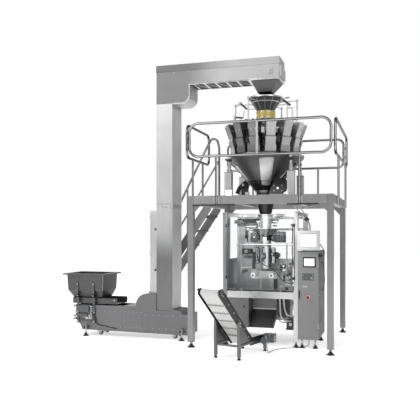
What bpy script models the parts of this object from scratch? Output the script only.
"""Vertical form fill sealer line: Z bucket elevator, fourteen-head weigher on a
working platform, vertical form fill seal machine with its control cabinet,
and a take-off conveyor.  Metres, +Z up, floor at Z = 0.

The operator stands in front, on the -Y side.  The elevator's feeder is at the
left end (-X), the cabinet is on the machine's right (+X), and the conveyor
leaves towards -Y.  Design coordinates have their origin on the floor at the
centre of the platform's four posts.  One empty carries every piece, so that
the world origin is the centre of the line's footprint on the floor.
"""
import math

import bmesh
import bpy
from mathutils import Matrix, Vector

# ---------------------------------------------------------------- shared dimensions
FOOTPRINT_SHIFT = (1.028, 0.488, 0.0)   # moves the design origin to the footprint centre
GAP = 0.0003                            # clearance between resting faces
WALL = 0.004                            # sheet thickness of the elevator and the cabinet

DROP_X, DROP_Y = -0.040, -0.270         # product drop axis: weigher and forming tube
TUBE_RADIUS = 0.075                     # forming tube

BEAM_BOTTOM, BEAM_TOP = 1.880, 1.990    # platform beams
DECK_TOP = BEAM_TOP + GAP + 0.006
TUBE_RAIL_RADIUS = 0.017                # guard rails and stair handrail

FRAME_X0, FRAME_X1 = -0.570, 0.455      # sealing machine frame, outside faces
FRAME_Y0, FRAME_Y1 = -0.570, 0.360
FRAME_TOP = 1.790

# ---------------------------------------------------------------- the scene
for old in list(bpy.data.objects):
    bpy.data.objects.remove(old, do_unlink=True)

COLLECTION = bpy.data.collections.new("vertical_form_fill_sealer")
CUTTERS = bpy.data.collections.new("cutters")
bpy.context.scene.collection.children.link(COLLECTION)
bpy.context.scene.collection.children.link(CUTTERS)

ROOT = bpy.data.objects.new("line_origin", None)
ROOT.location = FOOTPRINT_SHIFT
COLLECTION.objects.link(ROOT)


# ---------------------------------------------------------------- materials
def material(name, colour, roughness, metallic=0.0, alpha=1.0):
    made = bpy.data.materials.new(name)
    made.use_nodes = True
    inputs = made.node_tree.nodes["Principled BSDF"].inputs
    inputs["Base Color"].default_value = (*colour, 1.0)
    inputs["Roughness"].default_value = roughness
    inputs["Metallic"].default_value = metallic
    inputs["Alpha"].default_value = alpha
    return made


STEEL = material("brushed_steel", (0.56, 0.56, 0.56), roughness=0.32, metallic=1.0)
SHEET = material("satin_sheet", (0.62, 0.62, 0.61), roughness=0.42, metallic=1.0)
DARK_STEEL = material("dark_steel", (0.22, 0.22, 0.21), roughness=0.35, metallic=1.0)
TUBE_STEEL = material("polished_tube", (0.68, 0.68, 0.68), roughness=0.18, metallic=1.0)
GREY = material("grey_paint", (0.27, 0.27, 0.27), roughness=0.5)
RUBBER = material("rubber", (0.025, 0.025, 0.025), roughness=0.8)
YELLOW = material("amber_ring", (0.66, 0.58, 0.20), roughness=0.35)
BELT = material("white_belt", (0.82, 0.82, 0.80), roughness=0.55)
CLEAR = material("clear_acrylic", (0.85, 0.9, 0.92), roughness=0.05, alpha=0.3)
FILM = material("film_roll", (0.80, 0.81, 0.82), roughness=0.3)
RED = material("red_plastic", (0.65, 0.03, 0.02), roughness=0.35)
GREEN = material("green_plastic", (0.03, 0.35, 0.08), roughness=0.35)


# ---------------------------------------------------------------- solids
def span(centre, half):
    """The two ends of a length centred on a value."""
    return centre - half, centre + half


def mesh_from(work):
    mesh = bpy.data.meshes.new("shape")
    work.to_mesh(mesh)
    work.free()
    return mesh


def turned_box(centre, size, rotation):
    """A box of this size, turned by a 3x3 rotation about its centre."""
    work = bmesh.new()
    place = Matrix.Translation(centre) @ rotation.to_4x4() @ Matrix.Diagonal((*size, 1.0))
    bmesh.ops.create_cube(work, size=1.0, matrix=place)
    return mesh_from(work)


def box(x0, x1, y0, y1, z0, z1):
    """An upright box; the two ends of each axis may come in either order."""
    x0, x1 = sorted((x0, x1))
    y0, y1 = sorted((y0, y1))
    centre = Vector(((x0 + x1) / 2, (y0 + y1) / 2, (z0 + z1) / 2))
    return turned_box(centre, (x1 - x0, y1 - y0, z1 - z0), Matrix.Identity(3))


def rod(start, end, radius, segments=12, end_radius=None, spin=0.0):
    """A cylinder, or a cone, from start to end."""
    start, end = Vector(start), Vector(end)
    axis = end - start
    turn = axis.to_track_quat("Z", "Y").to_matrix().to_4x4() @ Matrix.Rotation(spin, 4, "Z")
    work = bmesh.new()
    bmesh.ops.create_cone(work, cap_ends=True, segments=segments, radius1=radius,
                          radius2=radius if end_radius is None else end_radius,
                          depth=axis.length,
                          matrix=Matrix.Translation((start + end) / 2) @ turn)
    return mesh_from(work)


def rod_x(x0, x1, y, z, radius, segments=12):
    return rod((x0, y, z), (x1, y, z), radius, segments)


def rod_y(x, y0, y1, z, radius, segments=12):
    return rod((x, y0, z), (x, y1, z), radius, segments)


def rod_z(x, y, z0, z1, radius, segments=12):
    return rod((x, y, z0), (x, y, z1), radius, segments)


def funnel(top_x0, top_x1, top_y0, top_y1, top_z, low_x0, low_x1, low_y0, low_y1, low_z):
    """A solid block with one rectangle as its top and another as its bottom."""
    work = bmesh.new()
    bmesh.ops.create_cube(work, size=1.0)
    for corner in work.verts:
        right, back = corner.co.x > 0, corner.co.y > 0
        if corner.co.z > 0:
            corner.co = (top_x1 if right else top_x0, top_y1 if back else top_y0, top_z)
        else:
            corner.co = (low_x1 if right else low_x0, low_y1 if back else low_y0, low_z)
    return mesh_from(work)


def evaluated_mesh(name, data, modify=None):
    """The mesh an object with this data gives, after an optional setup of its modifiers."""
    holder = bpy.data.objects.new(name, data)
    bpy.context.scene.collection.objects.link(holder)
    if modify:
        modify(holder)
    bpy.context.view_layer.update()
    depsgraph = bpy.context.evaluated_depsgraph_get()
    mesh = bpy.data.meshes.new_from_object(holder.evaluated_get(depsgraph))
    bpy.data.objects.remove(holder, do_unlink=True)
    return mesh


def welded(mesh, distance, shift=(0, 0, 0)):
    """The mesh with its seams closed and its faces turned outwards, then moved."""
    work = bmesh.new()
    work.from_mesh(mesh)
    bmesh.ops.remove_doubles(work, verts=work.verts, dist=distance)
    bmesh.ops.recalc_face_normals(work, faces=work.faces)
    work.transform(Matrix.Translation(shift))
    return mesh_from(work)


def add_polyline(curve, points, closed):
    spline = curve.splines.new("POLY")
    spline.points.add(len(points) - 1)
    for knot, place in zip(spline.points, points):
        knot.co = (*place, 1)
    spline.use_cyclic_u = closed


def outline(points, low, high, plane="XZ", holes=()):
    """A flat outline extruded from low to high: XZ runs along Y, YZ runs along X."""
    curve = bpy.data.curves.new("outline", "CURVE")
    curve.dimensions = "2D"
    curve.fill_mode = "BOTH"
    curve.extrude = (high - low) / 2
    for ring in (points, *holes):
        add_polyline(curve, [(*point, 0) for point in ring], closed=True)
    mesh = welded(evaluated_mesh("temporary_curve", curve), 1e-5)
    middle = (low + high) / 2
    if plane == "XZ":
        mesh.transform(Matrix(((1, 0, 0, 0), (0, 0, -1, middle), (0, 1, 0, 0), (0, 0, 0, 1))))
    else:
        mesh.transform(Matrix(((0, 0, 1, middle), (1, 0, 0, 0), (0, 1, 0, 0), (0, 0, 0, 1))))
    return mesh


def pipe(points, radius, closed=False):
    """A round bar along a path."""
    curve = bpy.data.curves.new("pipe", "CURVE")
    curve.dimensions = "3D"
    curve.bevel_depth = radius
    curve.bevel_resolution = 1
    curve.use_fill_caps = not closed
    add_polyline(curve, points, closed)
    return welded(evaluated_mesh("temporary_curve", curve), 1e-5)


def lathe(profile, steps=28):
    """A closed profile of (radius, height) points, turned about the product drop axis."""
    weld = 0.00005

    def turn(holder):
        screw = holder.modifiers.new("screw", "SCREW")
        screw.axis = "Z"
        screw.angle = math.tau
        screw.steps = screw.render_steps = steps
        screw.use_merge_vertices = True
        screw.merge_threshold = weld

    count = len(profile)
    mesh = bpy.data.meshes.new("profile")
    mesh.from_pydata([(radius, 0, z) for radius, z in profile],
                     [(i, (i + 1) % count) for i in range(count)], [])
    return welded(evaluated_mesh("temporary_profile", mesh, turn), weld, (DROP_X, DROP_Y, 0))


def arc(centre_a, centre_b, radius, angles):
    """Points on a circle in a plane, at these angles in degrees."""
    return [(centre_a + radius * math.cos(math.radians(angle)),
             centre_b + radius * math.sin(math.radians(angle))) for angle in angles]


def rounded(a0, a1, b0, b1, radius):
    """A rectangle in a plane, each corner rounded with four points."""
    points = []
    for centre_a, centre_b, start in ((a1 - radius, b1 - radius, 0), (a0 + radius, b1 - radius, 90),
                                      (a0 + radius, b0 + radius, 180),
                                      (a1 - radius, b0 + radius, 270)):
        points += arc(centre_a, centre_b, radius, [start + 90 * i / 3 for i in range(4)])
    return points


def joined(meshes):
    work = bmesh.new()
    for mesh in meshes:
        work.from_mesh(mesh)
    bmesh.ops.recalc_face_normals(work, faces=work.faces)
    return mesh_from(work)


def add_boolean(target, label, operation, mesh):
    """A boolean modifier on the target, with its hidden helper object."""
    helper = bpy.data.objects.new(f"{target.name}_{label}", mesh)
    CUTTERS.objects.link(helper)
    helper.parent = ROOT
    helper.hide_render = True
    helper.display_type = "WIRE"
    modifier = target.modifiers.new(label, "BOOLEAN")
    modifier.operation = operation
    modifier.solver = "EXACT"
    modifier.use_self = True
    modifier.object = helper


def part(name, finish, shapes, cuts=(), origin=(0, 0, 0), smooth=False):
    """One named piece: the first shape, united with the others, then cut."""
    mesh = shapes[0]
    mesh.transform(Matrix.Translation(-Vector(origin)))
    mesh.name = name
    mesh.materials.clear()
    mesh.materials.append(finish)
    if smooth:
        mesh.shade_smooth()
        mesh.set_sharp_from_angle(angle=math.radians(35))
    piece = bpy.data.objects.new(name, mesh)
    COLLECTION.objects.link(piece)
    piece.parent = ROOT
    piece.location = origin
    if shapes[1:]:
        add_boolean(piece, "union", "UNION", joined(shapes[1:]))
    if cuts:
        add_boolean(piece, "difference", "DIFFERENCE", joined(cuts))
    return piece


def foot(x, y, top, radius=0.05, screw=0.012):
    """A levelling foot: pad, cone and screw."""
    return [rod_z(x, y, 0.0, 0.014, radius, 14),
            rod((x, y, 0.012), (x, y, 0.034), radius * 0.6, 10, end_radius=screw * 1.3),
            rod_z(x, y, 0.030, top, screw, 8)]


# ================================================================= platform
POST_PLACE = 0.91                       # post and beam centre lines from the middle
POST_HALF = 0.080 / 2                   # half the width of the square tube
RAIL_BOTTOM, RAIL_TOP = 2.510, 2.940    # guard rail loops
RAIL_PLACE = 0.967                      # rail centre line from the middle


def platform_frame():
    shapes = []
    for side_y in (-1, 1):
        for side_x in (-1, 1):
            shapes.append(box(*span(side_x * POST_PLACE, POST_HALF),
                              *span(side_y * POST_PLACE, POST_HALF), 0.075, BEAM_TOP))
    for side in (-1, 1):
        across = span(side * POST_PLACE, POST_HALF)
        shapes.append(box(-POST_PLACE, POST_PLACE, *across, BEAM_BOTTOM, BEAM_TOP))
        shapes.append(box(*across, -POST_PLACE, POST_PLACE, BEAM_BOTTOM, BEAM_TOP))
    for x in (-0.46, 0.38):                               # joists under the weigher stand
        shapes.append(box(*span(x, 0.03), -POST_PLACE, POST_PLACE, 1.915, BEAM_TOP))
    for side_x in (-1, 1):                                # corner gussets
        for side_y in (-1, 1):
            face = side_x * (POST_PLACE - POST_HALF)
            inside, tip = face + side_x * 0.01, face - side_x * 0.09
            gusset = [(inside, 1.885), (inside, 1.79), (face, 1.79), (tip, 1.88), (tip, 1.885)]
            shapes.append(outline(gusset, *span(side_y * POST_PLACE, 0.02)))
    for side_x in (-1, 1):
        for side_y in (-1, 1):
            shapes += foot(side_x * POST_PLACE, side_y * POST_PLACE, 0.10)
    part("platform_frame", STEEL, shapes)


def platform_deck():
    part("platform_deck", SHEET,
         [box(-0.945, 0.945, -0.945, 0.945, BEAM_TOP + GAP, 1.9963)],
         [rod_z(DROP_X, DROP_Y, 1.9, 2.1, 0.165, 28)])


def rail_posts(places, outward):
    """Rail posts with the flat brackets that bolt to the beams; outward points off the deck."""
    shapes = []
    half_x, half_y = (0.0068, 0.045) if outward[0] else (0.045, 0.0068)
    for x, y in places:
        shapes.append(rod_z(x, y, 1.885, RAIL_BOTTOM, 0.0145, 10))
        shapes.append(box(*span(x - outward[0] * 0.0095, half_x),
                          *span(y - outward[1] * 0.0095, half_y), 1.892, 1.978))
    return shapes


def rail_along_x(x0, x1, y, corner):
    ring = rounded(x0, x1, RAIL_BOTTOM, RAIL_TOP, corner)
    return pipe([(x, y, z) for x, z in ring], TUBE_RAIL_RADIUS, closed=True)


def rail_along_y(x, y0, y1, corner):
    ring = rounded(y0, y1, RAIL_BOTTOM, RAIL_TOP, corner)
    return pipe([(x, y, z) for y, z in ring], TUBE_RAIL_RADIUS, closed=True)


def rail_clamps(x, y, length):
    """Two bars across a corner, joining neighbouring rail loops."""
    turn = Matrix.Rotation(math.radians(-45), 3, "Z")
    return [turned_box((x, y, z), (length, 0.018, 0.035), turn) for z in (2.66, 2.79)]


def guard_rail_front_left():
    shapes = [rail_along_x(-0.915, 0.920, -RAIL_PLACE, 0.13),
              rail_along_y(-RAIL_PLACE, -0.915, 0.080, 0.10)]
    shapes += rail_clamps(-0.941, -0.941, 0.078)
    shapes += rail_posts([(-0.55, -RAIL_PLACE), (0.53, -RAIL_PLACE)], (0, -1))
    shapes += rail_posts([(-RAIL_PLACE, -0.67), (-RAIL_PLACE, -0.226)], (-1, 0))
    shapes.append(rod_z(-0.01, -RAIL_PLACE, RAIL_BOTTOM, RAIL_TOP, 0.0125, 10))
    part("guard_rail_front_left", TUBE_STEEL, shapes, smooth=True)


def guard_rail_back_right():
    shapes = [rail_along_y(RAIL_PLACE, -0.915, 0.890, 0.10),
              rail_along_x(-0.915, 0.915, RAIL_PLACE, 0.10)]
    shapes += rail_clamps(0.941, 0.9285, 0.092)
    shapes += rail_posts([(RAIL_PLACE, -0.47), (RAIL_PLACE, 0.69)], (1, 0))
    shapes += rail_posts([(-0.50, RAIL_PLACE), (0.53, RAIL_PLACE)], (0, 1))
    part("guard_rail_back_right", TUBE_STEEL, shapes, smooth=True)


STAIR_X, STAIR_SLOPE = -0.953, 1.48     # top edge, and rise over run
STAIR_Y0, STAIR_Y1 = 0.140, 0.660       # middles of the two side plates
STAIR_UPPER, STAIR_LOWER = 2.060, 1.850 # heights of the plates' edge lines at the top edge
TREAD_RISE = 0.2218
HANDRAIL_X, HANDRAIL_SLOPE = -0.975, 1.953
HANDRAIL_FOOT_X = -2.036
HANDRAIL_ARCH = [                       # (X from the top post, Z)
    (0.0, 1.90), (0.0, 2.830), (-0.013, 2.905), (-0.045, 2.958), (-0.085, 2.980),
    (-0.130, 2.970), (-0.168, 2.928)]


def access_stair():
    """Two cut plates, eight treads and a handrail on the rear plate."""
    side_plate = [(STAIR_X, BEAM_TOP),
                  (STAIR_X - (STAIR_UPPER - BEAM_TOP) / STAIR_SLOPE, BEAM_TOP),
                  (STAIR_X - STAIR_UPPER / STAIR_SLOPE, 0.0),
                  (STAIR_X - STAIR_LOWER / STAIR_SLOPE, 0.0), (STAIR_X, STAIR_LOWER)]
    shapes = [outline(side_plate, *span(y, 0.006)) for y in (STAIR_Y0, STAIR_Y1)]
    for i in range(1, 9):
        z = TREAD_RISE * i
        x = STAIR_X - ((STAIR_UPPER + STAIR_LOWER) / 2 - z) / STAIR_SLOPE
        shapes.append(box(x - 0.085, x + 0.075, STAIR_Y0 + 0.001, STAIR_Y1 - 0.001, z - 0.028, z))
    path = [(HANDRAIL_X + x, STAIR_Y1, z) for x, z in HANDRAIL_ARCH]
    slope_run = HANDRAIL_X - 0.168 - HANDRAIL_FOOT_X - 0.03
    path += [(HANDRAIL_FOOT_X + 0.03, STAIR_Y1, 2.928 - slope_run * HANDRAIL_SLOPE),
             (HANDRAIL_FOOT_X, STAIR_Y1, 1.150), (HANDRAIL_FOOT_X, STAIR_Y1, 0.350)]
    shapes.append(pipe(path, TUBE_RAIL_RADIUS))
    # Small offsets and spins keep the two inner bars' facets off the handrail's.
    shapes.append(rod((HANDRAIL_X, STAIR_Y1 + 0.0013, 2.650),
                      (HANDRAIL_FOOT_X, STAIR_Y1 + 0.0013,
                       2.650 + (HANDRAIL_FOOT_X - HANDRAIL_X) * 1.60), 0.0135, 8, spin=0.21))
    shapes.append(rod((-1.500, STAIR_Y1 - 0.0017, 1.12), (-1.500, STAIR_Y1 - 0.0017, 2.228),
                      0.0130, 8, spin=0.37))
    part("access_stair", STEEL, shapes, smooth=True)


# ================================================================= elevator
CASING_Y0, CASING_Y1 = span(DROP_Y, 0.185)      # column and head casing
COLUMN_X0, COLUMN_X1 = -1.586, -1.342
BASE_Y0, BASE_Y1 = span(DROP_Y, 0.200)
BASE_X1 = -1.095                                # right end of the base
TAIL_X, TAIL_Z = -2.660, 0.262                  # tail shaft centre
HEAD_X, HEAD_Z = 0.060, 3.702                   # head shaft centre
SHAFT_HOLE = 0.0140
WHEELS_X = (-2.500, -1.330)
AXLE_Z = 0.036
ARM_X0, ARM_X1 = -1.088, 0.184                  # arm of the head casing
ARM_BOTTOM = 3.600
COVER_TOP = 3.888
MOTOR_Y = CASING_Y1 + 0.012

SHOULDER_ANGLES = (112, 135, 158, 180)          # rounded shoulder left of the column
BASE_OUTER = [                                  # (X, Z)
    (-2.860, 0.300), (-2.760, 0.090), (BASE_X1, 0.075), (BASE_X1, 0.360),
    (-1.190, 0.360), (-1.215, 0.395), (-1.260, 0.415),
    (COLUMN_X1 + GAP, 0.420), (COLUMN_X1 + GAP, 0.400),
    (COLUMN_X0 - GAP, 0.400), (COLUMN_X0 - GAP, 0.640), (-1.730, 0.640),
    *arc(-1.730, 0.470, 0.17, SHOULDER_ANGLES),
    (-1.900, 0.450), (-2.860, 0.450)]
BASE_INNER = [                                  # (X, Z)
    (-2.860 + WALL, 0.302), (-2.760 + WALL, 0.090 + WALL),
    (BASE_X1 - WALL, 0.076 + WALL), (BASE_X1 - WALL, 0.360 - WALL),
    (-1.193, 0.360 - WALL), (COLUMN_X1, 0.400 - WALL),
    (COLUMN_X0 - GAP - WALL, 0.400 - WALL), (COLUMN_X0 - GAP - WALL, 0.640 - WALL),
    (-1.730, 0.640 - WALL),
    *arc(-1.730, 0.470, 0.17 - WALL, SHOULDER_ANGLES),
    (-1.900 + WALL, 0.450 - WALL), (-2.860 + WALL, 0.450 - WALL)]


def elevator_base():
    shapes = [outline(BASE_OUTER, BASE_Y0, BASE_Y1)]
    for x in (-2.680, -1.190):                            # feet on side lugs
        for y, inward in ((BASE_Y0 - 0.035, 1), (BASE_Y1 + 0.035, -1)):
            shapes.append(box(*span(x, 0.03), y - inward * 0.03, y + inward * 0.04, 0.10, 0.15))
            shapes += foot(x, y, 0.12, radius=0.042, screw=0.010)
    for x in WHEELS_X:                                    # fixed fork plates for the wheel sets
        for y in span(DROP_Y, 0.125):
            shapes.append(box(*span(x, 0.022), *span(y, 0.003), 0.018, 0.098))
    for x0, x1, top in ((-2.500, -2.120, 0.385), (-2.080, -1.800, 0.385),
                        (-1.760, BASE_X1 - 0.004, 0.352)):   # bolted front covers
        shapes.append(box(x0, x1, BASE_Y0 - 0.004, BASE_Y0 + 0.002, 0.130, top))
    for x in (-2.800, -2.450):                            # rubber buffers under the feeder tray
        for y in span(DROP_Y, 0.120):
            shapes.append(rod_z(x, y, 0.448, 0.466 - GAP, 0.020, 10))
    cuts = [outline(BASE_INNER, BASE_Y0 + WALL, BASE_Y1 - WALL),
            box(-2.36, -2.10, *span(DROP_Y, 0.15), 0.43, 0.47),
            column_cavity(0.38, 0.42),
            rod_y(TAIL_X, BASE_Y0 - 0.02, BASE_Y1 + 0.02, TAIL_Z, SHAFT_HOLE, 16)]
    for x in WHEELS_X:
        cuts.append(rod_y(x, *span(DROP_Y, 0.16), AXLE_Z, 0.0088, 16))
    part("elevator_base", SHEET, shapes, cuts)


def column_cavity(z0, z1):
    """A length of the column's inside space."""
    return box(COLUMN_X0 + WALL, COLUMN_X1 - WALL, CASING_Y0 + WALL, CASING_Y1 - WALL, z0, z1)


def elevator_column():
    shapes = [box(COLUMN_X0, COLUMN_X1, CASING_Y0, CASING_Y1, 0.4003, 3.330)]
    for inset, proud, z0, z1 in ((0.012, 0.005, 0.68, 1.300), (0.006, 0.008, 1.330, 1.880),
                                 (0.006, 0.008, 1.910, 3.300)):   # front inspection covers
        shapes.append(box(COLUMN_X0 + inset, COLUMN_X1 - inset,
                          CASING_Y0 - proud, CASING_Y0 + 0.001, z0, z1))
    for z0, z1 in ((0.66, 1.860), (1.920, 3.280)):        # covers on the right side
        shapes.append(box(COLUMN_X1 - 0.001, COLUMN_X1 + 0.006,
                          CASING_Y0 + 0.03, CASING_Y1 - 0.03, z0, z1))
    part("elevator_column", SHEET, shapes, [column_cavity(0.39, 3.34)])


def head_outline(inset, top):
    """Side view of the head casing, moved inwards except at its top."""
    return [(COLUMN_X0 + inset, 3.3303 + inset),
            *arc(-1.208, 3.4503, 0.12 - inset, (-90, -60, -30, 0)),
            (ARM_X0 - inset, ARM_BOTTOM + inset), (ARM_X1 - inset, ARM_BOTTOM + inset),
            (ARM_X1 - inset, top), (COLUMN_X0 + inset, top)]


def elevator_head():
    shapes = [outline(head_outline(0.0, 3.800), CASING_Y0, CASING_Y1),
              box(COLUMN_X0 - 0.005, ARM_X1 + 0.005, CASING_Y0 - 0.005, CASING_Y1 + 0.005,
                  3.788, COVER_TOP),                      # folded cover
              funnel(-0.215, ARM_X1 - 0.002, *span(DROP_Y, 0.160), 3.602,
                     -0.135, 0.055, *span(DROP_Y, 0.095), 3.438),
              box(-0.230, ARM_X1 + 0.008, *span(DROP_Y, 0.195), 3.580, 3.612),
              box(ARM_X1 - 0.002, ARM_X1 + 0.022, CASING_Y0 + 0.01, CASING_Y1 - 0.01,
                  3.625, 3.770)]
    cuts = [outline(head_outline(WALL, COVER_TOP - WALL), CASING_Y0 + WALL, CASING_Y1 - WALL),
            column_cavity(3.32, 3.35),
            funnel(-0.2115, ARM_X1 - 0.0055, *span(DROP_Y, 0.1565), 3.6075,
                   -0.1310, 0.051, *span(DROP_Y, 0.091), 3.43),
            rod_y(HEAD_X, CASING_Y0 - 0.02, CASING_Y1 + 0.02, HEAD_Z, SHAFT_HOLE, 16)]
    for i in range(5):                                    # open ladder bottom of the arm
        x = -1.030 + 0.158 * i
        cuts.append(box(x, x + 0.130, CASING_Y0 + 0.03, CASING_Y1 - 0.03, 3.57, 3.615))
    part("elevator_head", SHEET, shapes, cuts)


def elevator_control_box():
    shapes = [box(-1.702, COLUMN_X0 - GAP, *span(DROP_Y, 0.14), 0.6404, 1.830),
              box(-1.690, COLUMN_X0 - 0.012, DROP_Y - 0.146, DROP_Y - 0.139, 0.660, 1.810)]
    for z in (0.98, 1.56):                                # round latches on the front
        shapes.append(rod_y(COLUMN_X0 - 0.030, DROP_Y - 0.145, DROP_Y - 0.170, z, 0.016))
    part("elevator_control_box", SHEET, shapes)


CHAIN_HALF = 0.0045                             # half the band's thickness
CHAIN_X0, CHAIN_X1 = -1.530, -1.400             # the two upright runs
CHAIN_BASE_Z, CHAIN_ARM_Z = 0.150, 3.635        # lower runs in the base and in the arm


def chain_loop(offset):
    """The closed path of the chain, moved outwards by offset."""
    tail_radius = TAIL_Z - CHAIN_BASE_Z + offset
    head_radius = HEAD_Z - CHAIN_ARM_Z + offset
    return [*arc(TAIL_X, TAIL_Z, tail_radius, range(90, 271, 30)),
            (CHAIN_X1 + offset, CHAIN_BASE_Z - offset),
            (CHAIN_X1 + offset, CHAIN_ARM_Z - offset),
            *arc(HEAD_X, HEAD_Z, head_radius, range(-90, 91, 30)),
            (CHAIN_X0 - offset, HEAD_Z + head_radius),
            (CHAIN_X0 - offset, TAIL_Z + tail_radius)]


def bucket(x, z, top_half, low_half, half_height):
    return funnel(*span(x, top_half), *span(DROP_Y, 0.135), z + half_height,
                  *span(x, low_half), *span(DROP_Y, 0.122), z - half_height)


def bucket_chain():
    """An endless band round the head and tail drums and through the column, with its buckets."""
    shapes = [outline(chain_loop(CHAIN_HALF), *span(DROP_Y, 0.105),
                      holes=(chain_loop(-CHAIN_HALF),))]
    for x in (-2.46, -2.26, -2.06, -1.86, -1.66):
        for z in (CHAIN_BASE_Z, 2 * TAIL_Z - CHAIN_BASE_Z):
            shapes.append(bucket(x, z, 0.05, 0.036, 0.026))
    for z in (0.62, 0.92, 1.22, 1.52, 1.82, 2.12, 2.42, 2.72, 3.02, 3.32):
        for x in (CHAIN_X1, CHAIN_X0):
            shapes.append(bucket(x, z, 0.026, 0.020, 0.045))
    for x in (-1.15, -0.90, -0.65, -0.40, -0.15):
        for z in (CHAIN_ARM_Z, 2 * HEAD_Z - CHAIN_ARM_Z):
            shapes.append(bucket(x, z, 0.05, 0.036, 0.024))
    part("bucket_chain", DARK_STEEL, shapes)


def elevator_shaft(name, x, y0, y1, z, drum_radius):
    shapes = [rod_y(x, y0, y1, z, 0.0125, 16),
              rod_y(x, *span(DROP_Y, 0.10), z, drum_radius, 24)]
    part(name, STEEL, shapes, origin=(x, DROP_Y, z), smooth=True)


def elevator_gearmotor():
    """Gear housing behind the head shaft, with its motor lying towards -X."""
    shapes = [box(*span(HEAD_X, 0.060), MOTOR_Y - 0.0115, MOTOR_Y + 0.105,
                  HEAD_Z - 0.065, HEAD_Z + 0.075),
              rod_x(HEAD_X - 0.05, HEAD_X - 0.32, MOTOR_Y + 0.050, HEAD_Z, 0.053, 16),
              rod_x(HEAD_X - 0.31, HEAD_X - 0.345, MOTOR_Y + 0.052, HEAD_Z, 0.049, 16),
              box(HEAD_X - 0.23, HEAD_X - 0.13, MOTOR_Y + 0.012, MOTOR_Y + 0.092,
                  HEAD_Z + 0.040, HEAD_Z + 0.092)]
    part("elevator_gearmotor", GREY, shapes,
         [rod_y(HEAD_X, MOTOR_Y - 0.03, MOTOR_Y + 0.075, HEAD_Z, SHAFT_HOLE, 16)], smooth=True)


def feeder_hopper():
    shapes = [funnel(-2.990, -2.400, *span(DROP_Y, 0.235), 0.910,
                     -2.975, -2.415, *span(DROP_Y, 0.225), 0.660),
              funnel(-2.975, -2.415, *span(DROP_Y, 0.225), 0.662,
                     -2.915, -2.450, *span(DROP_Y, 0.158), 0.556),
              box(-3.040, -2.355, *span(DROP_Y, 0.275), 0.904, 0.910)]
    # Each leg: inner and outer distance from the elevator's centre plane, then its Z range.
    leg = ((0.2003, 0.2220, 0.180, 0.600), (0.2180, 0.2420, 0.560, 0.780),
           (0.2003, 0.2420, 0.560, 0.612))
    for x in (-2.820, -2.560):
        for side in (-1, 1):
            for inner, outer, z0, z1 in leg:
                shapes.append(box(*span(x, 0.016), DROP_Y + side * inner, DROP_Y + side * outer,
                                  z0, z1))
    for side in (-1, 1):                                  # bars between the legs
        shapes.append(box(-2.820, -2.560, DROP_Y + side * 0.2003, DROP_Y + side * 0.2150,
                          0.200, 0.240))
    cuts = [funnel(-2.987, -2.403, *span(DROP_Y, 0.232), 0.9105,
                   -2.972, -2.418, *span(DROP_Y, 0.2215), 0.660),
            funnel(-2.972, -2.418, *span(DROP_Y, 0.2215), 0.661,
                   -2.912, -2.453, *span(DROP_Y, 0.155), 0.550)]
    part("feeder_hopper", DARK_STEEL, shapes, cuts)


def feeder_tray():
    shapes = [box(-2.930, -2.200, *span(DROP_Y, 0.170), 0.466, 0.552),
              box(-2.985, -2.925, *span(DROP_Y, 0.060), 0.455, 0.545)]
    for side in (-1, 1):
        shapes.append(box(-2.275, -2.205, DROP_Y + side * 0.165, DROP_Y + side * 0.185,
                          0.500, 0.552))
    part("feeder_tray", DARK_STEEL, shapes,
         [box(-2.926, -2.150, *span(DROP_Y, 0.166), 0.470, 0.600)],
         origin=(-2.565, DROP_Y, 0.466))


def wheelset(name, x):
    """An axle with two wheels between the base's fork plates and its end collars."""
    shapes = [rod_y(x, *span(DROP_Y, 0.140), AXLE_Z, 0.0080, 16)]
    for side in (-1, 1):
        for inner, outer, radius, segments in ((0.0950, 0.1180, 0.033, 20),
                                               (0.1310, 0.1400, 0.014, 12)):
            shapes.append(rod_y(x, DROP_Y + side * inner, DROP_Y + side * outer, AXLE_Z,
                                radius, segments))
    part(name, RUBBER, shapes, origin=(x, DROP_Y, AXLE_Z), smooth=True)


# ================================================================= weigher
HEADS = 14
FIRST_HEAD = -70.6                      # angle of the first head, degrees
HEAD_PITCH = 360 / HEADS
HEAD_ANGLES = [FIRST_HEAD + HEAD_PITCH * i for i in range(HEADS)]
SPOKE_ANGLES = [FIRST_HEAD + HEAD_PITCH * (i + 0.5) for i in (2, 5, 9, 12)]   # between heads
RIM_Z = 2.530                           # underside of the rim
STAND_X, STAND_Y = 0.420, 0.400         # stand posts from the drop axis
LUG_X, LUG_Y = 0.410, 0.385             # strut tops from the drop axis
GATE_RADIUS, GATE_Z = 0.4620, 2.5900    # weigh gate hinges


def polar(radius, degrees, z):
    angle = math.radians(degrees)
    return (DROP_X + radius * math.cos(angle), DROP_Y + radius * math.sin(angle), z)


def radial(mesh, degrees):
    """Turns a shape modelled along +X from the drop axis to an angle about that axis."""
    turn = Matrix.Rotation(math.radians(degrees), 4, "Z")
    mesh.transform(Matrix.Translation((DROP_X, DROP_Y, 0)) @ turn)
    return mesh


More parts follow.
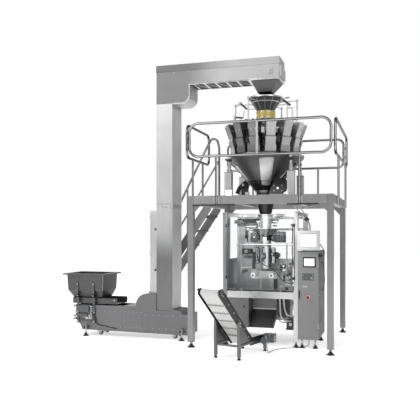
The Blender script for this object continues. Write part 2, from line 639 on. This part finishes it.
def weigher_body():
    """Rim, stand posts with struts, central drum, spokes and strut lugs."""
    corners = [(side_x, side_y) for side_x in (-1, 1) for side_y in (-1, 1)]
    shapes = [lathe([(0.492, RIM_Z), (0.530, RIM_Z), (0.530, RIM_Z + 0.028),
                     (0.492, RIM_Z + 0.028)], 36)]
    for side_x, side_y in corners:
        x, y = DROP_X + side_x * STAND_X, DROP_Y + side_y * STAND_Y
        shapes.append(box(*span(x, 0.048), *span(y, 0.048), DECK_TOP + GAP, 2.320))
        shapes.append(box(*span(x, 0.065), *span(y, 0.065), DECK_TOP + GAP, DECK_TOP + 0.012))
        strut_top = (DROP_X + side_x * LUG_X, DROP_Y + side_y * LUG_Y, RIM_Z + 0.014)
        shapes.append(rod((x - side_x * 0.002, y - side_y * 0.002, 2.300), strut_top, 0.022, 8))
    shapes.append(lathe([(0.060, 2.470), (0.080, 2.470), (0.195, 2.560), (0.195, 2.900),
                         (0.150, 2.930), (0.060, 2.930)]))
    for degrees in SPOKE_ANGLES:
        shapes.append(radial(box(0.10, 0.510, -0.012, 0.012, RIM_Z + 0.001, RIM_Z + 0.026),
                             degrees))
    for side_x, side_y in corners:                        # lugs that carry the rim on the struts
        degrees = math.degrees(math.atan2(side_y * LUG_Y, side_x * LUG_X))
        shapes.append(radial(box(0.520, 0.590, -0.030, 0.030, RIM_Z + 0.002, RIM_Z + 0.027),
                             degrees))
    part("weigher_body", STEEL, shapes, smooth=True)


def dispersion_cone():
    shapes = [rod_z(DROP_X, DROP_Y, 3.006, 3.012, 0.180, 30),
              rod((DROP_X, DROP_Y, 3.0115), (DROP_X, DROP_Y, 3.100), 0.180, 30,
                  end_radius=0.012),
              rod_z(DROP_X, DROP_Y, 2.945, 3.008, 0.028, 16)]
    part("dispersion_cone", STEEL, shapes, origin=(DROP_X, DROP_Y, 3.006), smooth=True)


PAN_SECTION = [                         # (across, Z) of an open feeder pan
    (-0.048, 2.986), (0.048, 2.986), (0.048, 3.026), (0.0445, 3.026),
    (0.0445, 2.990), (-0.0445, 2.990), (-0.0445, 3.026), (-0.048, 3.026)]


def radial_feeders():
    shapes = [lathe([(0.110, 2.9305), (0.140, 2.9305), (0.140, 2.984), (0.250, 2.984),
                     (0.250, 2.992), (0.110, 2.992)])]
    for degrees in HEAD_ANGLES:
        shapes.append(radial(outline(PAN_SECTION, 0.240, 0.450, plane="YZ"), degrees))
    part("radial_feeders", STEEL, shapes)


def hopper_ring(name, bottom, top, link_z):
    """A ring of open tapered hoppers, linked to a collar at link_z.

    bottom and top each give (height, inner radius, outer radius, half width).
    """
    sheet = 0.0035
    low_z, low_inner, low_outer, low_half = bottom
    top_z, top_inner, top_outer, top_half = top
    shapes = [lathe([(0.202, link_z), (0.262, link_z), (0.262, link_z + 0.030),
                     (0.202, link_z + 0.030)])]
    cuts = []
    for degrees in HEAD_ANGLES:
        shapes.append(radial(funnel(top_inner, top_outer, -top_half, top_half, top_z,
                                    low_inner, low_outer, -low_half, low_half, low_z), degrees))
        shapes.append(radial(box(0.250, (low_inner + top_inner) / 2 + 0.006, -0.016, 0.016,
                                 link_z, link_z + 0.030), degrees))
        cuts.append(radial(funnel(
            top_inner + sheet, top_outer - sheet, -top_half + sheet, top_half - sheet,
            top_z + 0.0005,
            low_inner + sheet, low_outer - sheet, -low_half + sheet, low_half - sheet,
            low_z - 0.005), degrees))
    part(name, STEEL, shapes, cuts)


def weigh_gates():
    """A plate under each weigh hopper, with its hinge along the outer edge."""
    for i, degrees in enumerate(HEAD_ANGLES):
        plate = radial(box(0.342, GATE_RADIUS, -0.060, 0.060, 2.5915, 2.5945), degrees)
        angle = math.radians(degrees)
        tangent = Vector((-math.sin(angle), math.cos(angle), 0))
        middle = Vector(polar(GATE_RADIUS, degrees, GATE_Z))
        hinge = rod(middle - tangent * 0.054, middle + tangent * 0.054, 0.0055, 8)
        part(f"weigh_gate_{i + 1:02d}", STEEL, [plate, hinge], origin=tuple(middle))


COLLECTION_PROFILE = [                  # (radius, Z)
    (0.5225, RIM_Z - GAP), (0.134, 2.090), (0.134, 1.9980), (0.126, 1.9750), (0.080, 1.770),
    (0.0768, 1.770), (0.1235, 1.9755), (0.1305, 1.9985), (0.1305, 2.0895),
    (0.5180, RIM_Z - GAP)]
INFEED_PROFILE = [                      # (radius, Z)
    (0.232, 3.372), (0.232, 3.350), (0.222, 3.348), (0.1232, 3.195), (0.1232, 3.150),
    (0.1195, 3.150), (0.1195, 3.1965), (0.2180, 3.350), (0.229, 3.372)]


def collection_funnel():
    part("collection_funnel", DARK_STEEL, [lathe(COLLECTION_PROFILE)], smooth=True)


def infeed_funnel():
    """The top funnel on four thin posts that stand on the spoke angles of the rim."""
    shapes = [lathe(INFEED_PROFILE)]
    for degrees in SPOKE_ANGLES:
        shapes.append(rod(polar(0.445, degrees, RIM_Z + 0.0283), polar(0.445, degrees, 3.310),
                          0.008, 6))
        shapes.append(rod(polar(0.1893, degrees, 3.300), polar(0.452, degrees, 3.300),
                          0.0075, 6))
    part("infeed_funnel", DARK_STEEL, shapes, smooth=True)


def infeed_ring():
    profile = [(0.1285, 3.075), (0.133, 3.075), (0.133, 3.185), (0.1285, 3.185)]
    part("infeed_ring", YELLOW, [lathe(profile)], smooth=True)


# ================================================================= sealing machine
BAR = 0.060                             # width of the frame's square bars
PANEL_Y0, PANEL_Y1 = -0.060, -0.045     # back plate behind the forming tube
MOUNT_Y = PANEL_Y0 - GAP                # faces resting against the back plate
REEL_Y, REEL_Z = 0.585, 0.450           # film reel axis
DANCER_Y, DANCER_Z = 0.530, 1.055       # dancer arm pivot
JAW_GUIDES_X = span(DROP_X, 0.125)
JAW_GUIDE_Z = 0.937
SHAFT_Y, SHAFT_Z = -0.405, 1.352        # front cross shaft
ROLLER_Z = (1.108, 1.285)               # pull belt rollers
PULLEY = 0.028                          # pull belt end radius
CHUTE_CHEEK = [                         # (Y, Z)
    (-0.120, 0.600), (-0.120, 0.500), (-0.585, 0.245), (-0.600, 0.262),
    (-0.560, 0.330), (-0.300, 0.540)]
CHUTE_SLIDE = [(-0.118, 0.510), (-0.118, 0.500), (-0.585, 0.245), (-0.592, 0.251)]   # (Y, Z)


def frame_bars():
    shapes = []
    for x in (FRAME_X0, FRAME_X1 - BAR):
        for y in (FRAME_Y0, FRAME_Y1 - BAR):
            shapes.append(box(x, x + BAR, y, y + BAR, 0.075, FRAME_TOP))
            shapes += foot(x + BAR / 2, y + BAR / 2, 0.10, radius=0.040, screw=0.010)
    for z0, z1 in ((1.735, FRAME_TOP), (0.636, 0.727)):
        shapes.append(box(FRAME_X0, FRAME_X0 + BAR, FRAME_Y0, FRAME_Y1, z0, z1))
        shapes.append(box(FRAME_X1 - BAR, FRAME_X1, FRAME_Y0, FRAME_Y1, z0, z1))
        shapes.append(box(FRAME_X0, FRAME_X1, FRAME_Y1 - BAR, FRAME_Y1, z0, z1))
    shapes.append(box(FRAME_X0, FRAME_X1, FRAME_Y0, FRAME_Y0 + BAR, 0.636, 0.727))
    for x in (FRAME_X0, FRAME_X1 - BAR):
        shapes.append(box(x, x + BAR, FRAME_Y0, FRAME_Y1, 0.230, 0.280))
    shapes.append(box(FRAME_X0, FRAME_X1, FRAME_Y1 - BAR, FRAME_Y1, 0.230, 0.280))
    return shapes


def frame_panels():
    return [
        # lower left and lower rear housings
        box(FRAME_X0 + 0.02, -0.210, FRAME_Y0 + 0.004, FRAME_Y1 - 0.02, 0.235, 0.640),
        box(-0.215, 0.240, 0.080, 0.340, 0.300, 0.640),
        # back plate: left of the tube, below the belts, top rail
        box(-0.500, -0.150, PANEL_Y0, PANEL_Y1, 0.700, 1.715),
        box(-0.155, 0.300, PANEL_Y0, PANEL_Y1, 0.700, 1.150),
        box(-0.500, FRAME_X1 - 0.02, PANEL_Y0, PANEL_Y1, 1.640, 1.715),
        # lower left side panel
        box(FRAME_X0 + 0.025, FRAME_X0 + 0.035, FRAME_Y0 + 0.03, FRAME_Y1 - 0.03, 0.700, 1.150)]


def film_supports():
    """Reel arms, dancer brackets and the fixed film guide bars behind the frame."""
    shapes = []
    arms_x = (FRAME_X0, FRAME_X1 - 0.030)
    for x in arms_x:
        shapes.append(box(x, x + 0.030, FRAME_Y1 - 0.01, 0.640, 0.420, 0.480))
        shapes.append(box(x, x + 0.030, FRAME_Y1 - 0.01, 0.560, 1.030, 1.080))
    for y, z in ((0.430, 1.560), (0.180, 1.724)):
        shapes.append(rod_x(FRAME_X0 + 0.02, FRAME_X1 - 0.02, y, z, 0.018))
    for x in arms_x:
        shapes.append(box(x, x + 0.030, FRAME_Y1 - 0.01, 0.455, 1.535, 1.585))
    return shapes


def front_shafts():
    """Front cross shaft with its stays, two small uprights and the jaw guides."""
    shapes = [rod_x(-0.420, FRAME_X1 - 0.04, SHAFT_Y, SHAFT_Z, 0.012)]
    for x in (-0.400, FRAME_X1 - 0.045):
        shapes.append(box(*span(x, 0.012), -0.420, -0.050, 1.335, 1.369))
    shapes.append(box(FRAME_X1 - 0.057, FRAME_X1 - 0.030, -0.075, 0.310, 1.335, 1.369))
    for x in span(DROP_X, 0.317):                         # small uprights beside the belts
        shapes.append(rod_z(x, SHAFT_Y, 0.975, SHAFT_Z, 0.010, 10))
        shapes.append(box(*span(x, 0.015), -0.420, -0.050, 0.955, 0.990))
    for x in JAW_GUIDES_X:
        shapes.append(rod_y(x, -0.500, -0.050, JAW_GUIDE_Z, 0.012))
        shapes.append(rod_y(x, -0.512, -0.496, JAW_GUIDE_Z, 0.034, 16))
    return shapes


def bag_chute():
    shapes = [outline(CHUTE_CHEEK, x, x + 0.004, plane="YZ")
              for x in (DROP_X - 0.165, DROP_X + 0.171)]
    shapes.append(outline(CHUTE_SLIDE, DROP_X - 0.163, DROP_X + 0.173, plane="YZ"))
    shapes.append(box(DROP_X - 0.165, DROP_X + 0.175, -0.130, 0.090, 0.500, 0.506))
    return shapes


def machine_frame():
    shapes = frame_bars() + frame_panels() + film_supports() + front_shafts() + bag_chute()
    ends = (FRAME_X0 - 0.02, FRAME_X1 + 0.02)
    cuts = [rod_x(*ends, REEL_Y, REEL_Z, 0.0170, 16),
            rod_x(*ends, DANCER_Y, DANCER_Z, 0.0110, 16)]
    part("machine_frame", STEEL, shapes, cuts, smooth=True)


def bag_former():
    """Forming tube, collar and the bracket that holds them, one exchangeable set."""
    tube = [(0.112, 1.762), (TUBE_RADIUS, 1.702), (TUBE_RADIUS, 1.020),
            (TUBE_RADIUS - 0.003, 1.020), (TUBE_RADIUS - 0.003, 1.7035), (0.109, 1.762)]
    collar = [(0.185, 1.570), (0.0845, 1.451), (0.0845, 1.400), (TUBE_RADIUS + 0.005, 1.400),
              (TUBE_RADIUS + 0.005, 1.4525), (0.1805, 1.570)]
    width = span(DROP_X, 0.150)
    shapes = [lathe(tube),
              box(*span(DROP_X, 0.050), DROP_Y + TUBE_RADIUS - 0.002, MOUNT_Y, 1.655, 1.679),
              box(*width, DROP_Y + 0.0820, MOUNT_Y, 1.660, 1.676),
              box(DROP_X - 0.150, DROP_X - 0.135, -0.078, MOUNT_Y, 1.405, 1.676),
              box(DROP_X + 0.135, DROP_X + 0.150, -0.078, MOUNT_Y, 1.405, 1.676),
              box(*width, DROP_Y + 0.0820, MOUNT_Y, 1.405, 1.425),
              lathe(collar)]
    part("bag_former", TUBE_STEEL, shapes, smooth=True)


def film_roll():
    shapes = [rod_x(*span(DROP_X, 0.230), REEL_Y, REEL_Z, 0.160, 40),
              rod_x(FRAME_X0 - 0.012, FRAME_X1 + 0.012, REEL_Y, REEL_Z, 0.0155, 16)]
    part("film_roll", FILM, shapes, origin=(DROP_X, REEL_Y, REEL_Z), smooth=True)


def dancer_arm():
    shapes = [rod_x(FRAME_X0 - 0.012, FRAME_X1 + 0.012, DANCER_Y, DANCER_Z, 0.0098, 16)]
    for x in (DROP_X - 0.300, DROP_X + 0.290):
        shapes.append(box(x, x + 0.010, 0.515, 0.760, 1.040, 1.070))
    shapes.append(rod_x(*span(DROP_X, 0.305), 0.740, DANCER_Z, 0.020, 16))
    part("dancer_arm", STEEL, shapes, origin=(DROP_X, DANCER_Y, DANCER_Z), smooth=True)


def pull_belt(name, side):
    """A belt block beside the forming tube; side is -1 for left and 1 for right."""
    face = DROP_X + side * (TUBE_RADIUS + 0.004)
    low_z, high_z = ROLLER_Z
    ring = (arc(PULLEY, high_z, PULLEY, range(0, 181, 36))
            + arc(PULLEY, low_z, PULLEY, range(180, 361, 36)))
    block_x = (face + side * 0.030, face + side * 0.092)
    shapes = [outline([(face + side * x, z) for x, z in ring], *span(DROP_Y, 0.025)),
              box(*block_x, DROP_Y + 0.015, DROP_Y + 0.055, 1.150, 1.245),
              box(*block_x, DROP_Y + 0.045, -0.0680, 1.165, 1.225)]
    for z in ROLLER_Z:
        shapes.append(rod_y(face + side * PULLEY, DROP_Y - 0.040, DROP_Y - 0.020, z, 0.014))
    part(name, RUBBER, shapes)


def vertical_sealer():
    shapes = [box(*span(DROP_X, 0.012), DROP_Y - 0.108, DROP_Y - 0.082, 1.060, 1.330),
              box(*span(DROP_X, 0.030), DROP_Y - 0.123, DROP_Y - 0.106, 1.150, 1.240),
              rod_y(DROP_X, DROP_Y - 0.120, DROP_Y - 0.195, 1.195, 0.024, 16)]
    part("vertical_sealer", TUBE_STEEL, shapes)


def jaw(name, side):
    """A ribbed sealing jaw; side is -1 for front and 1 for rear."""
    face = DROP_Y + side * 0.066
    shapes = [box(*span(DROP_X, 0.175), face, DROP_Y + side * 0.105, 0.885, 0.989)]
    for z0, z1 in ((0.897, 0.915), (0.958, 0.976)):
        shapes.append(box(*span(DROP_X, 0.150), face + side * 0.002, face - side * 0.014, z0, z1))
    cuts = [rod_y(x, *span(DROP_Y, 0.3), JAW_GUIDE_Z, 0.0135, 16) for x in JAW_GUIDES_X]
    part(name, STEEL, shapes, cuts)


DOOR_Y0, DOOR_Y1 = FRAME_Y0 - 0.015, FRAME_Y0 - 0.009


def safety_door(name, hinge_x, side):
    """A clear front door; side points along X from its hinge to its free edge."""
    hinge_y = FRAME_Y0 - 0.012
    free_x = DROP_X - side * 0.004
    shapes = [box(hinge_x, free_x, DOOR_Y0, DOOR_Y1, 0.752, 1.715)]
    for z in (0.910, 1.610):
        shapes.append(rod_z(hinge_x, hinge_y, *span(z, 0.022), 0.0108))
        shapes.append(rod_y(hinge_x + side * 0.026, hinge_y - 0.001, hinge_y - 0.017, z,
                            0.019, 14))
        shapes.append(box(hinge_x, hinge_x + side * 0.04, DOOR_Y0 - 0.003, DOOR_Y1,
                          *span(z, 0.014)))
    handle_x = free_x - side * 0.030
    handle = ((0.002, 1.14), (-0.030, 1.14), (-0.030, 1.32), (0.002, 1.32))
    shapes.append(pipe([(handle_x, DOOR_Y0 + y, z) for y, z in handle], 0.006))
    part(name, CLEAR, shapes, origin=(hinge_x, hinge_y, 0.752))


# ================================================================= cabinet
CAB_X0, CAB_X1 = 0.4566, 0.720
CAB_Y0, CAB_Y1 = DOOR_Y0, 0.150
CAB_Z0, CAB_Z1 = 0.117, 1.270
CAB_DOOR_Y0, CAB_DOOR_Y1 = CAB_Y0 - 0.020, CAB_Y0 - GAP
STOP_X, STOP_Z, STOP_HOLE = 0.588, 0.672, 0.0115        # emergency stop and its hole radius
START_X, START_Z, START_HOLE = 0.640, 0.916, 0.0070     # start button and its hole radius
TILT_X, TILT_Y, TILT_Z = 0.600, -0.5925, 1.410          # middle of the screen's tilt pin
TILT_EAR = [(-0.560, 1.395), (-0.5980, 1.400), (-0.5980, 1.420), (-0.560, 1.430)]   # (Y, Z)


def control_cabinet():
    """Open-fronted shell; the fittings go in after it is hollowed."""
    shapes = [box(CAB_X0, CAB_X1, CAB_Y0, CAB_Y1, CAB_Z0, CAB_Z1)]
    for y in (CAB_Y0 + 0.05, CAB_Y1 - 0.05):
        shapes += foot(CAB_X0 + 0.045, y, CAB_Z0 + 0.003, radius=0.035, screw=0.010)
    cavity = box(CAB_X0 + WALL, CAB_X1 - WALL, CAB_Y0 - 0.01, CAB_Y1 - WALL,
                 CAB_Z0 + WALL, CAB_Z1 - WALL)
    shell = part("control_cabinet", GREY, shapes, [cavity])
    fittings = [
        # mounting plate, and the drives on it
        box(CAB_X0 + 0.05, CAB_X1 - 0.05, CAB_Y1 - 0.04, CAB_Y1 - 0.030, 0.30, 1.15),
        box(CAB_X0 + 0.07, CAB_X1 - 0.07, CAB_Y1 - 0.16, CAB_Y1 - 0.038, 0.80, 1.05),
        box(CAB_X0 + 0.07, CAB_X1 - 0.07, CAB_Y1 - 0.14, CAB_Y1 - 0.038, 0.45, 0.62)]
    for z in (0.32, 1.13):                                # lugs behind the mounting plate
        for x0, x1 in ((CAB_X0 + 0.06, CAB_X0 + 0.08), (CAB_X1 - 0.08, CAB_X1 - 0.06)):
            fittings.append(box(x0, x1, CAB_Y1 - 0.035, CAB_Y1, *span(z, 0.01)))
    # upright that carries the weigher screen, its base plate and its two ears
    fittings.append(box(0.560, 0.640, -0.572, -0.556, CAB_Z1 - 0.003, 1.430))
    fittings.append(box(0.540, 0.660, -0.580, -0.520, CAB_Z1 - 0.003, CAB_Z1 + 0.006))
    for x in (0.560, 0.630):
        fittings.append(outline(TILT_EAR, x, x + 0.010, plane="YZ"))
    add_boolean(shell, "fittings", "UNION", joined(fittings))
    add_boolean(shell, "pin_hole", "DIFFERENCE", rod_x(0.50, 0.70, TILT_Y, TILT_Z, 0.0045))


def cabinet_door():
    front = CAB_DOOR_Y0
    shapes = [box(CAB_X0 + 0.002, CAB_X1, front, CAB_DOOR_Y1, CAB_Z0 + 0.002, CAB_Z1 - 0.002),
              box(0.522, 0.688, front - 0.008, front + 0.001, 1.063, 1.195)]   # screen bezel
    for z in (0.300, 1.090):                              # hinge knuckles
        shapes.append(rod_z(CAB_X1 - 0.0005, front - 0.001, *span(z, 0.03), 0.007, 10))
    shapes.append(box(CAB_X0 + 0.012, CAB_X0 + 0.030, front - 0.014, front + 0.001,
                      0.640, 0.760))                      # latch handle
    cuts = [rod_y(x, front - 0.05, CAB_DOOR_Y1 + 0.05, z, radius, 16)
            for x, z, radius in ((STOP_X, STOP_Z, STOP_HOLE), (START_X, START_Z, START_HOLE))]
    cuts.append(box(0.536, 0.674, front - 0.012, front - 0.004, 1.079, 1.179))
    for i in range(4):                                    # key recesses
        for j in range(2):
            if (i, j) != (3, 1):
                x, z = 0.530 + 0.038 * i, 0.962 - 0.046 * j
                cuts.append(box(x - 0.011, x + 0.015, front - 0.01, front + 0.004,
                                *span(z, 0.010)))
    part("cabinet_door", GREY, shapes, cuts, origin=(CAB_X1 - 0.0015, CAB_Y0 - 0.010, CAB_Z0))


def emergency_stop():
    front = CAB_DOOR_Y0
    shapes = [rod_y(STOP_X, front - 0.034, front - 0.012, STOP_Z, 0.024, 20),
              rod_y(STOP_X, front - 0.014, CAB_DOOR_Y1 - 0.002, STOP_Z, STOP_HOLE - 0.001, 16)]
    part("emergency_stop", RED, shapes, origin=(STOP_X, front - 0.012, STOP_Z), smooth=True)


def start_button():
    front = CAB_DOOR_Y0
    shapes = [rod_y(START_X, front - 0.014, front - 0.0062, START_Z, 0.0115, 16),
              rod_y(START_X, front - 0.010, CAB_DOOR_Y1 - 0.002, START_Z, START_HOLE - 0.001)]
    part("start_button", GREEN, shapes, origin=(START_X, front - 0.006, START_Z), smooth=True)


def weigher_screen():
    """Screen housing with its rear tongue, tilt pin and raised, recessed front."""
    shapes = [box(0.458, 0.745, -0.662, -0.606, 1.285, 1.540),
              box(0.574, 0.626, -0.608, -0.5860, 1.399, 1.421),
              rod_x(0.555, 0.645, TILT_Y, TILT_Z, 0.0038),
              box(0.475, 0.728, -0.668, -0.660, 1.300, 1.525)]
    part("weigher_screen", SHEET, shapes, [box(0.492, 0.711, -0.675, -0.664, 1.322, 1.508)],
         origin=(TILT_X, TILT_Y, TILT_Z))


# ================================================================= conveyor
# Local frame: X across the belt, Y along it towards the raised end, Z up.
CONVEYOR_TURN = math.radians(15.0)
COS_TURN, SIN_TURN = math.cos(CONVEYOR_TURN), math.sin(CONVEYOR_TURN)
CONVEYOR_PLACE = Matrix(((COS_TURN, -SIN_TURN, 0, -0.250), (-SIN_TURN, -COS_TURN, 0, -1.480),
                         (0, 0, 1, 0), (0, 0, 0, 1)))
LOW_Y, LOW_Z = -0.700, 0.165            # lower roller
BEND_Y, BEND_Z = -0.330, LOW_Z          # where the belt starts to climb
HIGH_Y, HIGH_Z = 0.400, 0.825           # upper roller
BELT_HALF, CHEEK_X = 0.115, 0.140       # half belt width, side cheeks from the middle
CLIMB = math.atan2(HIGH_Z - BEND_Z, HIGH_Y - BEND_Y)
CHEEK = [                               # (Y, Z)
    (LOW_Y - 0.05, LOW_Z - 0.045), (BEND_Y + 0.022, BEND_Z - 0.045),
    (HIGH_Y + 0.050, HIGH_Z - 0.018), (HIGH_Y + 0.040, HIGH_Z + 0.040),
    (HIGH_Y - 0.010, HIGH_Z + 0.046), (BEND_Y - 0.020, BEND_Z + 0.050),
    (LOW_Y - 0.05, LOW_Z + 0.050)]


def placed(meshes):
    """Local shapes put in place; the local frame is left-handed, so faces are flipped back."""
    for mesh in meshes:
        mesh.transform(CONVEYOR_PLACE)
        mesh.flip_normals()
    return meshes


def conveyor_frame():
    shapes = [outline(CHEEK, *span(x, 0.004), plane="YZ") for x in (-CHEEK_X, CHEEK_X)]
    for side in (-1, 1):
        x = side * (CHEEK_X + 0.022)
        shapes += [
            box(*span(x, 0.018), 0.000, 0.036, 0.028, 0.460),               # tall leg and foot
            rod_z(x, 0.018, 0.0, 0.032, 0.024),
            box(*span(x, 0.013), -0.330, 0.010, 0.150, 0.176),              # lower side bar
            box(*span(x, 0.018), LOW_Y + 0.02, LOW_Y + 0.056, 0.028, 0.190),    # short leg
            rod_z(x, LOW_Y + 0.038, 0.0, 0.032, 0.024),
            outline([(0.004, 0.172), (-0.270, 0.172), (0.004, 0.430)],      # triangular plate
                    x - 0.006, x - 0.002, plane="YZ"),
            rod_x(side * (CHEEK_X + 0.002), side * (CHEEK_X + 0.020),
                  HIGH_Y + 0.020, HIGH_Z + 0.030, 0.016)]
    shapes.append(box(-CHEEK_X - 0.03, CHEEK_X + 0.03, 0.006, 0.030, 0.150, 0.176))
    shapes.append(box(-CHEEK_X, CHEEK_X, -0.420, -0.390, 0.1205, 0.1265))
    cuts = [rod_x(-0.3, 0.3, y, z, 0.0120) for y, z in ((LOW_Y, LOW_Z), (HIGH_Y, HIGH_Z))]
    part("conveyor_frame", DARK_STEEL, placed(shapes), placed(cuts))


def belt_loop(offset):
    """Belt path round both rollers, moved outwards by offset."""
    radius = 0.033 + offset
    shift = radius * math.tan(CLIMB / 2)
    climb_degrees = math.degrees(CLIMB)
    return [*arc(LOW_Y, LOW_Z, radius, [90 + 22.5 * i for i in range(9)]),
            (BEND_Y + shift, BEND_Z - radius),
            *arc(HIGH_Y, HIGH_Z, radius, [climb_degrees + (22.5 * i - 90) for i in range(9)]),
            (BEND_Y - shift, BEND_Z + radius)]


def conveyor_belt():
    shapes = [outline(belt_loop(0.004), -BELT_HALF, BELT_HALF, plane="YZ",
                      holes=(belt_loop(0.0008),))]
    along = Vector((0, math.cos(CLIMB), math.sin(CLIMB)))
    off_belt = Vector((0, -math.sin(CLIMB), math.cos(CLIMB)))
    for i in range(6):                                    # cleats on the climbing run
        centre = Vector((0, BEND_Y, BEND_Z)) + along * (0.110 + 0.148 * i) + off_belt * 0.046
        shapes.append(turned_box(centre, (2 * BELT_HALF - 0.02, 0.006, 0.026),
                                 Matrix.Rotation(CLIMB, 3, "X")))
    part("conveyor_belt", BELT, placed(shapes))


def conveyor_roller(name, y, z, shaft_end):
    shapes = [rod_x(-0.150, shaft_end, y, z, 0.0105), rod_x(-0.122, 0.122, y, z, 0.0325, 20)]
    part(name, STEEL, placed(shapes), origin=tuple(CONVEYOR_PLACE @ Vector((0, y, z))),
         smooth=True)


def conveyor_motor():
    shapes = [box(0.194, 0.285, LOW_Y - 0.045, LOW_Y + 0.060, LOW_Z - 0.052, LOW_Z + 0.058),
              rod_y(0.240, LOW_Y + 0.05, LOW_Y + 0.235, LOW_Z, 0.046, 18),
              box(0.205, 0.275, LOW_Y + 0.09, LOW_Y + 0.17, LOW_Z + 0.030, LOW_Z + 0.078)]
    cuts = [rod_x(0.17, 0.215, LOW_Y, LOW_Z, 0.0125, 16)]
    part("conveyor_motor", GREY, placed(shapes), placed(cuts), smooth=True)


# ================================================================= the line
platform_frame()
platform_deck()
guard_rail_front_left()
guard_rail_back_right()
access_stair()

elevator_base()
elevator_column()
elevator_head()
elevator_control_box()
bucket_chain()
elevator_shaft("head_shaft", HEAD_X, CASING_Y0 - 0.030, MOTOR_Y + 0.060, HEAD_Z, 0.058)
elevator_shaft("tail_shaft", TAIL_X, BASE_Y0 - 0.030, BASE_Y1 + 0.030, TAIL_Z, 0.100)
elevator_gearmotor()
feeder_hopper()
feeder_tray()
wheelset("wheelset_left", WHEELS_X[0])
wheelset("wheelset_right", WHEELS_X[1])

weigher_body()
dispersion_cone()
radial_feeders()
hopper_ring("feed_hoppers", (2.785, 0.360, 0.490, 0.056), (2.975, 0.395, 0.560, 0.068), 2.850)
hopper_ring("weigh_hoppers", (2.600, 0.340, 0.452, 0.064), (2.765, 0.345, 0.505, 0.070), 2.690)
weigh_gates()
collection_funnel()
infeed_funnel()
infeed_ring()

machine_frame()
bag_former()
film_roll()
dancer_arm()
pull_belt("pull_belt_left", -1)
pull_belt("pull_belt_right", 1)
vertical_sealer()
jaw("front_jaw", -1)
jaw("rear_jaw", 1)
safety_door("safety_door_left", FRAME_X0 + 0.050, 1)
safety_door("safety_door_right", FRAME_X1 - 0.050, -1)

control_cabinet()
cabinet_door()
emergency_stop()
start_button()
weigher_screen()

conveyor_frame()
conveyor_belt()
conveyor_roller("conveyor_drive_roller", LOW_Y, LOW_Z, 0.202)
conveyor_roller("conveyor_tail_roller", HIGH_Y, HIGH_Z, 0.150)
conveyor_motor()
